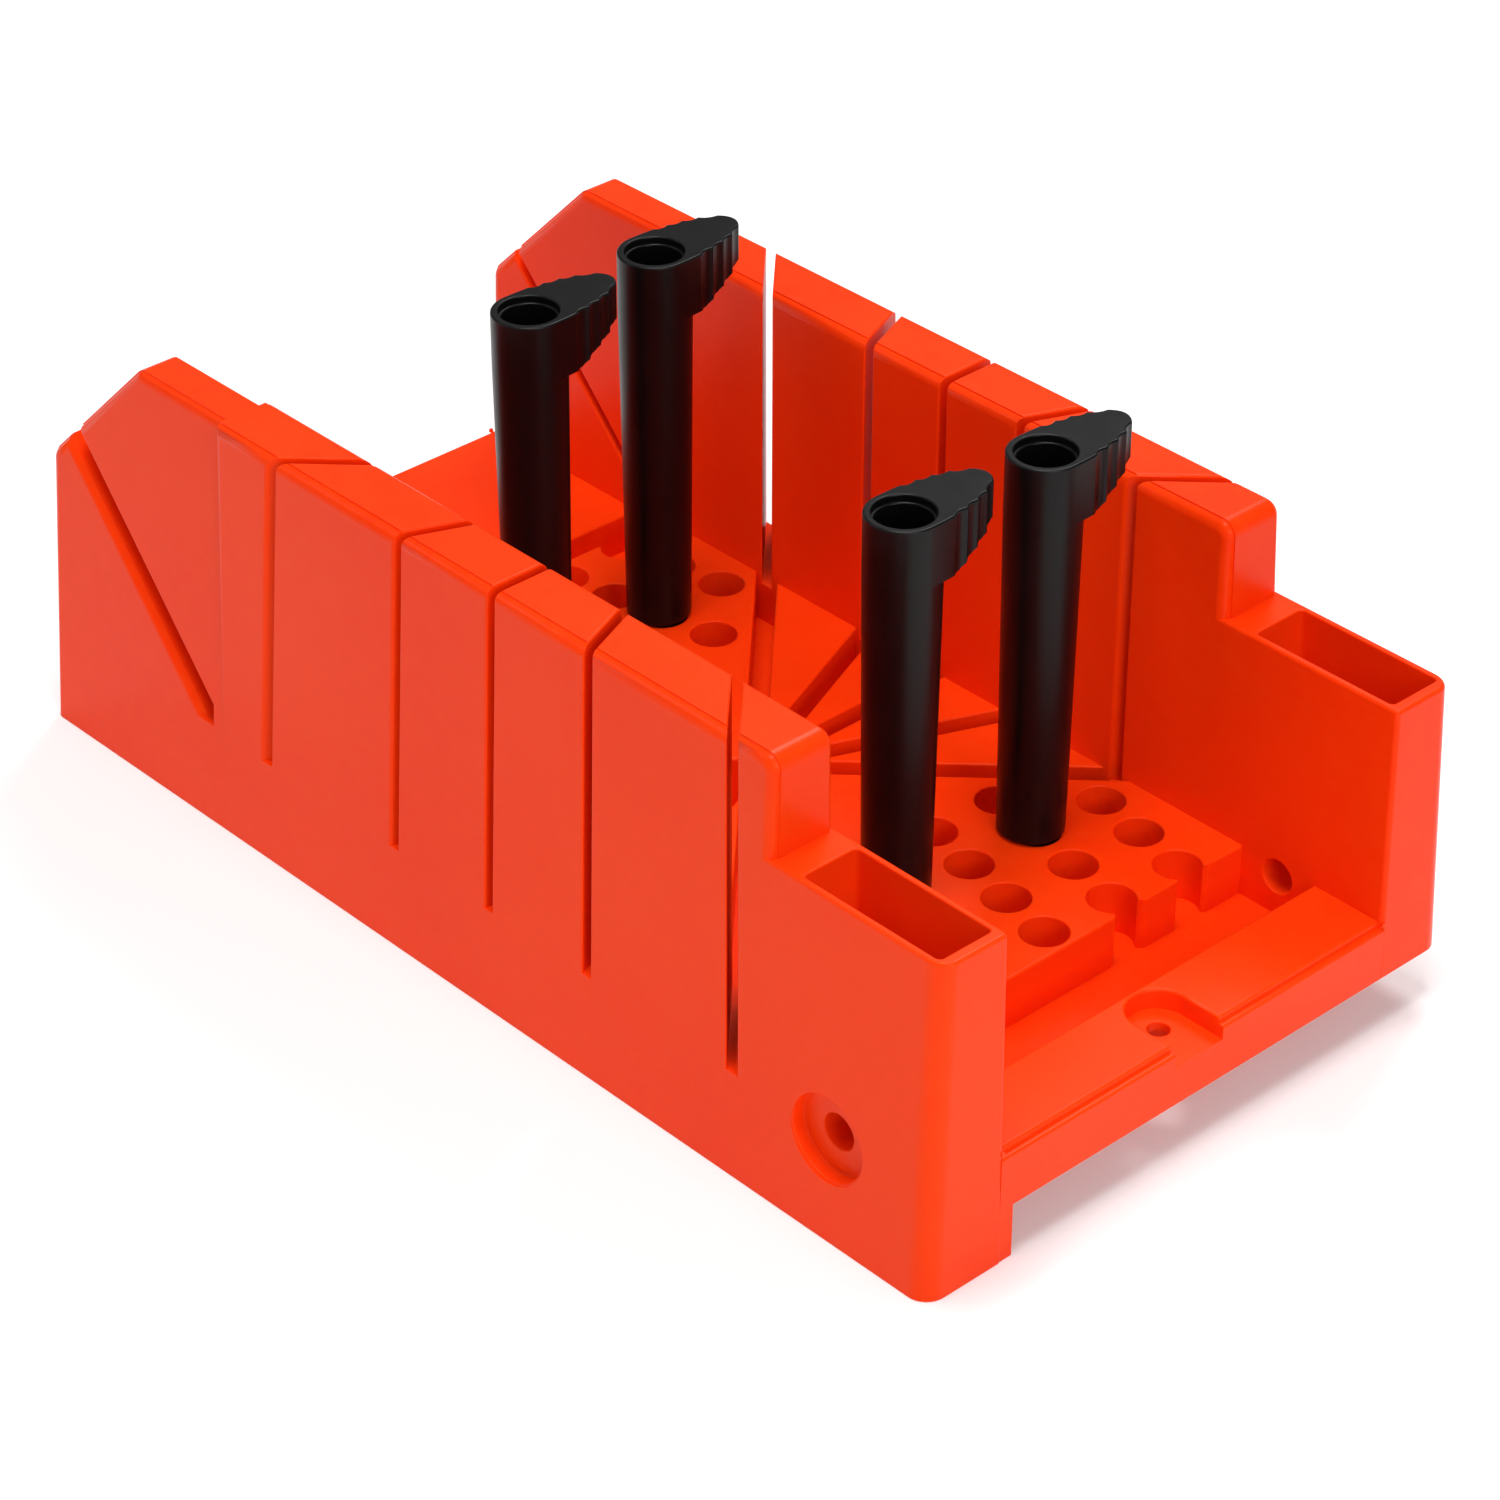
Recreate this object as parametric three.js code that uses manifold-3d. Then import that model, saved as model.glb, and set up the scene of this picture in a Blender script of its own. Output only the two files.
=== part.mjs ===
// A clamping mitre box: one moulded box with five vertical saw cuts and one bevel cut in each fence,
// and four cam pegs that stand in the holes of its deck.
//
// Millimetres, +Z up. The origin is where the five saw cuts cross, on the plane of the base that lies
// on the bench. +X runs along the box to the end with the two pockets, and +Y to the back fence. The
// front fence ends below in a hook that hangs over the bench's edge.

import * as THREE from "three";
import { mergeVertices } from "three/addons/utils/BufferGeometryUtils.js";
import Module from "manifold-3d";

const wasm = await Module();
wasm.setup();

// ---- Box ----
const LENGTH = 360;
const FAR_END = -195; // the bevel end
const NEAR_END = FAR_END + LENGTH; // the pocket end
const BASE_WIDTH = 190;
const CHANNEL_WIDTH = 139;
const FENCE_HEIGHT = 111;
const HOOK_DROP = 16;
const HOOK_THICKNESS = 29;
const WALL = 2.6;
const SIDE_DRAFT = 0.048; // inward lean of the fences' outer faces, per mm of height
const END_DRAFT = 0.0001; // shortening of the fences' length, per mm of height
const EDGE_RADIUS = 3;
const CORNER_RADIUS = 4.5; // of the fences' top corners, seen from the side
const OVERLAP = 1; // how far joined solids run into each other
const FAR = 2 * LENGTH; // past every face of the box

// ---- Fences ----
const TALL_NEAR_END = 105.6; // where the full-height fence stops and the pocket block goes on
const STEP_X = -116; // the fence is thinner from here to the bevel end
const STEP_SETBACK = 2.9; // at the top, on each face
const CHAMFER = 41; // the 45 degree cut-off of the far top corner
const POCKET_TOP = 82.6;
const POCKET_FLOOR = 30;
const POCKET_START = 114.8;
const POCKET_RIM = 2.4;
const POCKET_EDGE = 1;
const NEAR_CORNER_RADIUS = 6;
const ROOF = 3; // material above the fences' hollow

// ---- Saw cuts ----
const CUT_ANGLES = [45, 22.5, 0, -22.5, -45]; // degrees from square
const CUT_WIDTH = 2.8;
const CUT_FLOOR = 15;
const BEVEL_END_X = -119;
const BEVEL_LINE = -102.7; // x + z on the bevel cut's middle plane
const BEVEL_OUTER_LOW = -4; // the cut's lower side in the outer face, from its middle plane
const BEVEL_OUTER_HIGH = 3.4; // its upper side there; in the channel's face it is as wide as the others
const BEVEL_LIP = 2; // the 45 degree slope along its lower side in the outer face

// ---- Base between the fences ----
const FLOOR = 2.5;
const DECK_TOP = 18;
const DECK_HALF_LENGTH = 116;
const GROOVE_WIDTH = 6;
const PLATFORM_TOP = 15; // the far end's platform, under the bevel cut
const PLATFORM_END = -128;
const RAIL_START = 141;
const LEDGE_WIDTH = 1.8;
const LEDGE_DROP = 2;
const RAIL_RIBS = [-35, 35];
const PLATFORM_RIBS = [-46, -23, 23, 46];

// ---- Screw places ----
const NOTCH_RADIUS = 8.75;
const NOTCH_REACH = 14; // from the end of the box to the notch's centre
const NOTCH_DEPTH = 6;
const SCREW_RADIUS = 3;
const SIDE_HOLE_X = 128.5;
const SIDE_HOLE_Z = 14.2;
const SIDE_HOLE_RADIUS = 5;
const RECESS_RADIUS = 12.2;
const RECESS_DEPTH = 4;

// ---- Peg holes: a slanted grid, so that each row clamps a slightly different width ----
const HOLE_RADIUS = 6.75;
const HOLE_WALL = 2;
const GRID_START = new THREE.Vector2(75.8, 57.5);
const GRID_ROW = new THREE.Vector2(17.3, -3.6);
const GRID_COLUMN = new THREE.Vector2(-1.4, -23.7);
const HOLE_ROWS = [-1, 0, 1, 2];
const HOLE_COLUMNS = 5;
const OPEN_ROW = 2; // the holes of this row's first two columns break out through the deck's end
const OPEN_COLUMNS = 2;
const OPEN_WIDTH = 9;

// ---- Pegs ----
const PEG_HEIGHT = 115.7;
const PEG_FOOT_RADIUS = 9.3;
const PEG_HEAD_RADIUS = 10.4;
const PEG_FOOT_ROUND = 1.5;
const PEG_BORE_RADIUS = 7.4;
const PEG_BORE_FLOOR = 12;
const PEG_MOUTH_RADIUS = 8.3;
const PEG_MOUTH_DEPTH = 2;
const LEVER_REACH = 29.4; // from the shaft's axis to the lever's tip
const LEVER_ROOT_DEPTH = 17.5;
const LEVER_TIP_DEPTH = 9.9;
const LEVER_BLUNTNESS = 2.4; // the power that the lever's plan closes with towards its tip
const LEVER_BOW = 0.8; // the power that the lever's underside rises with
const LEVER_FLUTES = [10.8, 15.4, 20.1, 24.7];
const FLUTE_RADIUS = 2.4;
const FLUTE_DEPTH = 0.5;
const SPIGOT_RADIUS = 6.35;
const SPIGOT_LENGTH = 13.5;
const SPIGOT_CHAMFER = 1;
const CAM_OFFSET = -2; // the shaft's axis from the spigot's, along X
const GAP = 0.3; // between pieces that rest on each other

const OUTER_Y = -BASE_WIDTH / 2;
const INNER_Y = -CHANNEL_WIDTH / 2;
const HOOK_INNER_Y = OUTER_Y + HOOK_THICKNESS;

// ---- Geometry helpers ----

function solidOf(geometry) {
  const bare = geometry.clone();
  bare.deleteAttribute("normal");
  bare.deleteAttribute("uv");
  const merged = mergeVertices(bare);
  return new wasm.Manifold(
    new wasm.Mesh({
      numProp: 3,
      vertProperties: new Float32Array(merged.attributes.position.array),
      triVerts: new Uint32Array(merged.index.array),
    }),
  );
}

function geometryOf(solid) {
  const mesh = solid.getMesh();
  const geometry = new THREE.BufferGeometry();
  geometry.setAttribute("position", new THREE.BufferAttribute(new Float32Array(mesh.vertProperties), 3));
  geometry.setIndex(new THREE.BufferAttribute(new Uint32Array(mesh.triVerts), 1));
  geometry.computeVertexNormals();
  return geometry;
}

function union(solids) {
  return solids.reduce((all, one) => all.add(one));
}

// The mirror image of a solid: one of the two factors is -1 and the other 1.
function mirrored(solid, factorX, factorY) {
  const geometry = geometryOf(solid);
  geometry.scale(factorX, factorY, 1);
  const index = geometry.index.array;
  for (let i = 0; i < index.length; i += 3) {
    [index[i + 1], index[i + 2]] = [index[i + 2], index[i + 1]];
  }
  return solidOf(geometry);
}

function mirroredInX(solid) {
  return mirrored(solid, -1, 1);
}

function mirroredInY(solid) {
  return mirrored(solid, 1, -1);
}

function boxGeometry(x0, x1, y0, y1, z0, z1) {
  const geometry = new THREE.BoxGeometry(x1 - x0, y1 - y0, z1 - z0);
  geometry.translate((x0 + x1) / 2, (y0 + y1) / 2, (z0 + z1) / 2);
  return geometry;
}

function box(x0, x1, y0, y1, z0, z1) {
  return solidOf(boxGeometry(x0, x1, y0, y1, z0, z1));
}

// An upright round bar.
function bar(x, y, z0, z1, radius, sides = 20) {
  const geometry = new THREE.CylinderGeometry(radius, radius, z1 - z0, sides);
  geometry.rotateX(Math.PI / 2);
  geometry.translate(x, y, (z0 + z1) / 2);
  return solidOf(geometry);
}

// A round bar along Y.
function crossBar(x, z, y0, y1, radius, sides = 24) {
  const geometry = new THREE.CylinderGeometry(radius, radius, y1 - y0, sides);
  geometry.translate(x, (y0 + y1) / 2, z);
  return solidOf(geometry);
}

// A closed outline through corner points [x, y, radius], anticlockwise, each corner rounded by its radius.
function roundedOutline(corners) {
  const shape = new THREE.Shape();
  const point = (i) => new THREE.Vector2(...corners[(i + corners.length) % corners.length]);
  corners.forEach(([x, y, radius = 0], i) => {
    if (!radius) {
      if (i === 0) shape.moveTo(x, y);
      else shape.lineTo(x, y);
      return;
    }
    const here = point(i);
    const back = point(i - 1).sub(here).normalize();
    const ahead = point(i + 1).sub(here).normalize();
    const halfAngle = Math.acos(back.dot(ahead)) / 2;
    const centre = back.clone().add(ahead).setLength(radius / Math.sin(halfAngle)).add(here);
    const start = Math.atan2(-back.x, back.y) - Math.PI;
    if (i > 0) shape.lineTo(centre.x + radius * Math.cos(start), centre.y + radius * Math.sin(start));
    shape.absarc(centre.x, centre.y, radius, start, start + Math.PI - 2 * halfAngle, false);
  });
  return shape;
}

// Extrudes a shape of the XZ plane between two values of Y, with its edges rounded.
function extrudeAlongY(shape, y0, y1, edge) {
  const geometry = new THREE.ExtrudeGeometry(shape, {
    depth: y1 - y0 - 2 * edge,
    bevelEnabled: edge > 0,
    bevelSize: edge,
    bevelThickness: edge,
    bevelOffset: -edge,
    bevelSegments: 3,
    curveSegments: 4,
  });
  geometry.rotateX(Math.PI / 2);
  geometry.translate(0, y1 - edge, 0);
  return geometry;
}

// Extrudes a shape of the XY plane up from z0 to z1, with its top edge rounded.
function extrudeUp(shape, z0, z1, edge) {
  const geometry = new THREE.ExtrudeGeometry(shape, {
    depth: z1 - z0 - edge,
    bevelEnabled: edge > 0,
    bevelSize: edge,
    bevelThickness: edge,
    bevelOffset: -edge,
    bevelSegments: 2,
    curveSegments: 5,
  });
  geometry.translate(0, 0, z0);
  return geometry;
}

// Gives a piece of the front fence its moulding draft: the outer face leans in with height, and a
// setback thins both faces towards the top.
function drafted(geometry, setback = 0, endDraft = END_DRAFT) {
  const position = geometry.attributes.position;
  for (let i = 0; i < position.count; i++) {
    const x = position.getX(i);
    const y = position.getY(i);
    const z = position.getZ(i);
    const outerShare = (INNER_Y - y) / (INNER_Y - OUTER_Y);
    const thinning = (setback * (z + HOOK_DROP)) / (FENCE_HEIGHT + HOOK_DROP);
    position.setX(i, x * (1 - endDraft * z));
    position.setY(i, y + outerShare * (SIDE_DRAFT * z + thinning) - (1 - outerShare) * thinning);
  }
  return solidOf(geometry);
}

// ---- Saw cuts ----

// The slab that a saw blade at an angle from square takes up, through the crossing of the cuts.
function cutSlab(angle, width, z0, z1, halfLength) {
  const geometry = boxGeometry(-width / 2, width / 2, -halfLength, halfLength, z0, z1);
  geometry.rotateZ(-THREE.MathUtils.degToRad(angle));
  return solidOf(geometry);
}

function cutSlabs(width, z0, z1) {
  const pastFences = BASE_WIDTH * 0.75;
  return union(CUT_ANGLES.map((angle) => cutSlab(angle, width, z0, z1, pastFences)));
}

// A bar through the front fence at 45 degrees, from corners [across, y] of its section, where across is
// the distance up from the bevel cut's middle plane. It stops where the cut does, or a margin further on.
function bevelBar(corners, margin) {
  const section = new THREE.Shape(corners.map((corner) => new THREE.Vector2(...corner)));
  const geometry = new THREE.ExtrudeGeometry(section, { depth: 4 * CHAMFER, bevelEnabled: false });
  geometry.rotateY(-Math.PI / 4);
  const lowX = BEVEL_END_X + CHAMFER / 2;
  geometry.translate(lowX, 0, BEVEL_LINE - lowX);
  const room = box(-FAR, BEVEL_END_X + margin, -FAR, 0, CUT_FLOOR - margin, FAR);
  return drafted(geometry, STEP_SETBACK, 0).intersect(room);
}

// The bevel cut narrows from the outer face to the channel's face.
function bevelCut() {
  const half = CUT_WIDTH / 2;
  return bevelBar(
    [
      [BEVEL_OUTER_LOW - BEVEL_LIP - OVERLAP, OUTER_Y - OVERLAP],
      [BEVEL_OUTER_HIGH, OUTER_Y - OVERLAP],
      [BEVEL_OUTER_HIGH, OUTER_Y],
      [half, INNER_Y],
      [half, INNER_Y + 2 * OVERLAP],
      [-half, INNER_Y + 2 * OVERLAP],
      [-half, INNER_Y],
      [BEVEL_OUTER_LOW, OUTER_Y + BEVEL_LIP],
    ],
    0,
  );
}

// The room that the bevel cut and the walls round it take up in the fence's hollow.
function bevelWalls() {
  const low = BEVEL_OUTER_LOW - WALL;
  const high = BEVEL_OUTER_HIGH + WALL;
  return bevelBar(
    [
      [low, OUTER_Y],
      [high, OUTER_Y],
      [high, INNER_Y],
      [low, INNER_Y],
    ],
    WALL,
  );
}

// ---- Front fence ----

function fenceShell() {
  const bottom = -HOOK_DROP;
  const under = bottom - EDGE_RADIUS - OVERLAP;
  const tall = roundedOutline([
    [STEP_X, under],
    [TALL_NEAR_END, under],
    [TALL_NEAR_END, FENCE_HEIGHT, CORNER_RADIUS],
    [STEP_X, FENCE_HEIGHT],
  ]);
  const thinEnd = STEP_X + 3 * EDGE_RADIUS;
  const thin = roundedOutline([
    [FAR_END, under],
    [thinEnd, under],
    [thinEnd, FENCE_HEIGHT],
    [FAR_END + CHAMFER, FENCE_HEIGHT, CORNER_RADIUS],
    [FAR_END, FENCE_HEIGHT - CHAMFER, CORNER_RADIUS],
  ]);
  const pocketBlock = roundedOutline([
    [TALL_NEAR_END - 2 * NEAR_CORNER_RADIUS, OUTER_Y],
    [NEAR_END, OUTER_Y, NEAR_CORNER_RADIUS],
    [NEAR_END, INNER_Y, EDGE_RADIUS / 2],
    [TALL_NEAR_END - 2 * NEAR_CORNER_RADIUS, INNER_Y],
  ]);
  const shell = union([
    drafted(extrudeAlongY(tall, OUTER_Y, INNER_Y, EDGE_RADIUS)),
    drafted(extrudeAlongY(thin, OUTER_Y, INNER_Y, EDGE_RADIUS), STEP_SETBACK),
    drafted(extrudeUp(pocketBlock, under, POCKET_TOP, POCKET_EDGE)),
    box(FAR_END + OVERLAP, NEAR_END, INNER_Y - EDGE_RADIUS, HOOK_INNER_Y, bottom, 0),
  ]);
  return shell.subtract(box(-FAR, FAR, -FAR, FAR, -FAR, bottom));
}

// The hollow that opens under the fence, with a wall left round every saw cut.
function fenceHollow() {
  const opening = -HOOK_DROP - OVERLAP;
  const outer = OUTER_Y + WALL;
  const inner = INNER_Y - WALL;
  const roof = FENCE_HEIGHT - ROOF;
  const slope = WALL * (Math.SQRT2 - 1);
  const thin = roundedOutline([
    [FAR_END + WALL, opening],
    [STEP_X + 2 * WALL, opening],
    [STEP_X + 2 * WALL, roof],
    [FAR_END + CHAMFER + slope, roof],
    [FAR_END + WALL, FENCE_HEIGHT - CHAMFER - slope - WALL],
  ]);
  const tall = boxGeometry(STEP_X + WALL, TALL_NEAR_END - WALL, outer, inner, opening, roof);
  const walls = cutSlabs(CUT_WIDTH + 2 * WALL, CUT_FLOOR - WALL, FENCE_HEIGHT);
  const main = drafted(extrudeAlongY(thin, outer, inner, 0), STEP_SETBACK)
    .add(drafted(tall))
    .subtract(walls)
    .subtract(bevelWalls());
  const underPocket = drafted(
    boxGeometry(TALL_NEAR_END + OVERLAP, NEAR_END - WALL, outer, inner, opening, POCKET_FLOOR - WALL),
  );
  const throughFence = [OUTER_Y - OVERLAP, INNER_Y + OVERLAP];
  const recessCup = crossBar(
    SIDE_HOLE_X,
    SIDE_HOLE_Z,
    OUTER_Y - OVERLAP,
    OUTER_Y + RECESS_DEPTH + WALL,
    RECESS_RADIUS + WALL,
  );
  const screwTube = crossBar(SIDE_HOLE_X, SIDE_HOLE_Z, ...throughFence, SIDE_HOLE_RADIUS + WALL);
  return main.add(underPocket.subtract(recessCup).subtract(screwTube));
}

function frontFence() {
  const pocket = drafted(
    boxGeometry(
      POCKET_START,
      NEAR_END - WALL - POCKET_EDGE,
      OUTER_Y + POCKET_RIM,
      INNER_Y - POCKET_RIM,
      POCKET_FLOOR,
      FENCE_HEIGHT,
    ),
  );
  const recess = crossBar(
    SIDE_HOLE_X,
    SIDE_HOLE_Z,
    OUTER_Y - HOOK_THICKNESS,
    OUTER_Y + RECESS_DEPTH + SIDE_DRAFT * SIDE_HOLE_Z,
    RECESS_RADIUS,
    32,
  );
  const screwHole = crossBar(SIDE_HOLE_X, SIDE_HOLE_Z, OUTER_Y, INNER_Y + OVERLAP, SIDE_HOLE_RADIUS);
  return fenceShell()
    .subtract(fenceHollow())
    .subtract(pocket)
    .subtract(recess)
    .subtract(screwHole)
    .subtract(cutSlabs(CUT_WIDTH, CUT_FLOOR, FENCE_HEIGHT + OVERLAP))
    .subtract(bevelCut());
}

// ---- Base ----

function holePlaces() {
  const places = [];
  for (const row of HOLE_ROWS) {
    for (let column = 0; column < HOLE_COLUMNS; column++) {
      const place = GRID_START.clone().addScaledVector(GRID_ROW, row).addScaledVector(GRID_COLUMN, column);
      const fromGroove = (place.x - Math.abs(place.y)) / Math.SQRT2 - GROOVE_WIDTH / 2;
      if (fromGroove < HOLE_RADIUS + HOLE_WALL) continue;
      places.push({ x: place.x, y: place.y, open: row === OPEN_ROW && column < OPEN_COLUMNS });
    }
  }
  return places;
}

// The peg holes of the near half of the deck, each widened by a margin.
function holeTools(z0, z1, margin, sides) {
  return union(
    holePlaces().map(({ x, y, open }) => {
      const hole = bar(x, y, z0, z1, HOLE_RADIUS + margin, sides);
      if (!open) return hole;
      const halfWidth = OPEN_WIDTH / 2 + margin;
      return hole.add(box(x, DECK_HALF_LENGTH + OVERLAP, y - halfWidth, y + halfWidth, z0, z1));
    }),
  );
}

function deck() {
  const halfWidth = -INNER_Y + OVERLAP;
  const block = box(-DECK_HALF_LENGTH, DECK_HALF_LENGTH, -halfWidth, halfWidth, 0, DECK_TOP);
  const grooves = cutSlabs(GROOVE_WIDTH, FLOOR, DECK_TOP + OVERLAP);
  const holes = holeTools(FLOOR, DECK_TOP + OVERLAP, 0, 20);
  const tubes = holeTools(-OVERLAP, DECK_TOP, HOLE_WALL, 12);
  const hollowEnd = DECK_HALF_LENGTH - WALL;
  const hollow = box(-hollowEnd, hollowEnd, INNER_Y, -INNER_Y, -OVERLAP, DECK_TOP - WALL)
    .subtract(cutSlabs(GROOVE_WIDTH + 2 * WALL, -2 * OVERLAP, DECK_TOP))
    .subtract(tubes)
    .subtract(mirroredInX(tubes));
  return block.subtract(grooves).subtract(holes).subtract(mirroredInX(holes)).subtract(hollow);
}

// A raised land across the channel at an end of the box, hollow below, with a low ledge along its
// outer edge and a notch for a screw that opens at the end. It is made at the near end; the far one is
// its mirror image.
function endLand(start, end, top, ribs) {
  const halfWidth = -INNER_Y + OVERLAP;
  const ledge = box(end - LEDGE_WIDTH, end + OVERLAP, INNER_Y, -INNER_Y, top - LEDGE_DROP, top + OVERLAP);
  const notchCentre = end - NOTCH_REACH;
  const notchFloor = top - NOTCH_DEPTH;
  const notch = (z0, z1, margin) => {
    const radius = NOTCH_RADIUS + margin;
    const slot = box(notchCentre, end + OVERLAP, -radius, radius, z0, z1);
    return bar(notchCentre, 0, z0, z1, radius).add(slot);
  };
  const hollow = box(start + WALL, end - WALL, INNER_Y, -INNER_Y, -OVERLAP, top - WALL);
  const ribSolids = ribs.map((y) => box(start, end, y - WALL / 2, y + WALL / 2, -OVERLAP, top));
  const screw = bar(notchCentre, 0, -OVERLAP, top, SCREW_RADIUS, 16);
  const land = box(start, end, -halfWidth, halfWidth, 0, top)
    .subtract(ledge)
    .subtract(hollow.subtract(union(ribSolids)).subtract(notch(-2 * OVERLAP, top, WALL)));
  const screwPad = notch(notchFloor - WALL, notchFloor, WALL);
  const underPad = notch(-2 * OVERLAP, notchFloor - WALL, 0).intersect(
    box(start + WALL, end - WALL, INNER_Y, -INNER_Y, -OVERLAP, top),
  );
  return land
    .subtract(underPad)
    .add(screwPad.intersect(box(start, end, INNER_Y, -INNER_Y, 0, top)))
    .subtract(notch(notchFloor, top + OVERLAP, 0))
    .subtract(screw);
}

function mitreBox() {
  const front = frontFence();
  const back = mirroredInY(front).subtract(box(-FAR, FAR, 0, FAR, -FAR, 0));
  const floor = box(FAR_END + WALL, NEAR_END - WALL, INNER_Y - OVERLAP, -INNER_Y + OVERLAP, 0, FLOOR);
  const rail = endLand(RAIL_START, NEAR_END, DECK_TOP, RAIL_RIBS);
  const platform = mirroredInX(endLand(-PLATFORM_END, -FAR_END, PLATFORM_TOP, PLATFORM_RIBS));
  const underLands = [
    box(RAIL_START + WALL, NEAR_END, INNER_Y, -INNER_Y, -OVERLAP, FLOOR + OVERLAP),
    box(FAR_END, PLATFORM_END - WALL, INNER_Y, -INNER_Y, -OVERLAP, FLOOR + OVERLAP),
    box(-DECK_HALF_LENGTH + WALL, DECK_HALF_LENGTH - WALL, INNER_Y, -INNER_Y, -OVERLAP, FLOOR + OVERLAP),
  ];
  const plate = floor.subtract(union(underLands));
  return union([front, back, plate, deck(), rail, platform]);
}

// ---- Pegs ----

// The hollow shaft, standing on z = 0.
function pegShaft() {
  const foot = [0, Math.PI / 4, Math.PI / 2].map((turn) => [
    PEG_FOOT_RADIUS - PEG_FOOT_ROUND * (1 - Math.sin(turn)),
    PEG_FOOT_ROUND * (1 - Math.cos(turn)),
  ]);
  const outline = [
    [0, 0],
    ...foot,
    [PEG_HEAD_RADIUS, PEG_HEIGHT - LEVER_ROOT_DEPTH],
    [PEG_HEAD_RADIUS, PEG_HEIGHT],
    [PEG_MOUTH_RADIUS, PEG_HEIGHT],
    [PEG_MOUTH_RADIUS, PEG_HEIGHT - PEG_MOUTH_DEPTH],
    [PEG_BORE_RADIUS, PEG_HEIGHT - PEG_MOUTH_DEPTH],
    [PEG_BORE_RADIUS, PEG_BORE_FLOOR],
    [0, PEG_BORE_FLOOR],
  ];
  const geometry = new THREE.LatheGeometry(outline.map((point) => new THREE.Vector2(...point)), 32);
  geometry.rotateX(Math.PI / 2);
  return solidOf(geometry);
}

// Half the lever's width at a distance y from the shaft's axis.
function leverHalfWidth(y) {
  return PEG_HEAD_RADIUS * Math.sqrt(1 - (y / LEVER_REACH) ** LEVER_BLUNTNESS);
}

// Upright bars that cut one flute into each side of the lever.
function flutePair(y) {
  const axis = leverHalfWidth(y) + FLUTE_RADIUS - FLUTE_DEPTH;
  const low = PEG_HEIGHT - LEVER_ROOT_DEPTH - OVERLAP;
  return [axis, -axis].map((x) => bar(x, y, low, PEG_HEIGHT + OVERLAP, FLUTE_RADIUS, 12));
}

// The thumb lever: a pointed arch in plan with fluted sides, deeper at its root than at its tip.
function pegLever() {
  const steps = 12;
  const side = [];
  for (let i = 0; i < steps; i++) {
    const y = LEVER_REACH * Math.sin((i / steps) * (Math.PI / 2));
    side.push(new THREE.Vector2(leverHalfWidth(y), y));
  }
  const otherSide = side.map((point) => new THREE.Vector2(-point.x, point.y)).reverse();
  const plan = new THREE.Shape([...side, new THREE.Vector2(0, LEVER_REACH), ...otherSide]);
  const blade = new THREE.ExtrudeGeometry(plan, { depth: LEVER_ROOT_DEPTH, bevelEnabled: false });
  const root = PEG_HEIGHT - LEVER_ROOT_DEPTH;
  blade.translate(0, 0, root);

  const underside = [];
  for (let i = 0; i <= steps; i++) {
    const share = i / steps;
    const rise = (LEVER_ROOT_DEPTH - LEVER_TIP_DEPTH) * share ** LEVER_BOW;
    const y = PEG_HEAD_RADIUS + (LEVER_REACH + OVERLAP - PEG_HEAD_RADIUS) * share;
    underside.push(new THREE.Vector2(root + rise, y));
  }
  const wedgeSection = new THREE.Shape([
    ...underside,
    new THREE.Vector2(root - OVERLAP, LEVER_REACH + OVERLAP),
    new THREE.Vector2(root - OVERLAP, PEG_HEAD_RADIUS),
  ]);
  const wedge = new THREE.ExtrudeGeometry(wedgeSection, {
    depth: 4 * PEG_HEAD_RADIUS,
    bevelEnabled: false,
  });
  wedge.rotateY(-Math.PI / 2);
  wedge.translate(2 * PEG_HEAD_RADIUS, 0, 0);
  const flutes = LEVER_FLUTES.flatMap(flutePair);
  return solidOf(blade).subtract(solidOf(wedge)).subtract(union(flutes));
}

function camPeg() {
  const above = PEG_HEIGHT + OVERLAP;
  const bore = bar(0, 0, PEG_HEIGHT - LEVER_ROOT_DEPTH - OVERLAP, above, PEG_BORE_RADIUS, 32);
  const mouth = bar(0, 0, PEG_HEIGHT - PEG_MOUTH_DEPTH, above, PEG_MOUTH_RADIUS, 32);
  return pegShaft().add(pegLever().subtract(bore).subtract(mouth));
}

// The pin under the shaft, off its axis, that stands in a hole of the deck.
function spigot() {
  const tip = SPIGOT_RADIUS - SPIGOT_CHAMFER;
  const outline = [
    [0, -SPIGOT_LENGTH],
    [tip, -SPIGOT_LENGTH],
    [SPIGOT_RADIUS, -SPIGOT_LENGTH + SPIGOT_CHAMFER],
    [SPIGOT_RADIUS, 0],
    [0, 0],
  ];
  const geometry = new THREE.LatheGeometry(outline.map((point) => new THREE.Vector2(...point)), 24);
  geometry.rotateX(Math.PI / 2);
  return solidOf(geometry);
}

// ---- Scene ----

const orangePlastic = { color: 0xf2461c, roughness: 0.38, metalness: 0 };
const blackPlastic = { color: 0x141314, roughness: 0.42, metalness: 0 };

function named(name, geometry, look) {
  const mesh = new THREE.Mesh(geometry, new THREE.MeshStandardMaterial(look));
  mesh.name = name;
  return mesh;
}

const root = new THREE.Group();
root.add(named("mitre_box", geometryOf(mitreBox()), orangePlastic));

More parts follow.
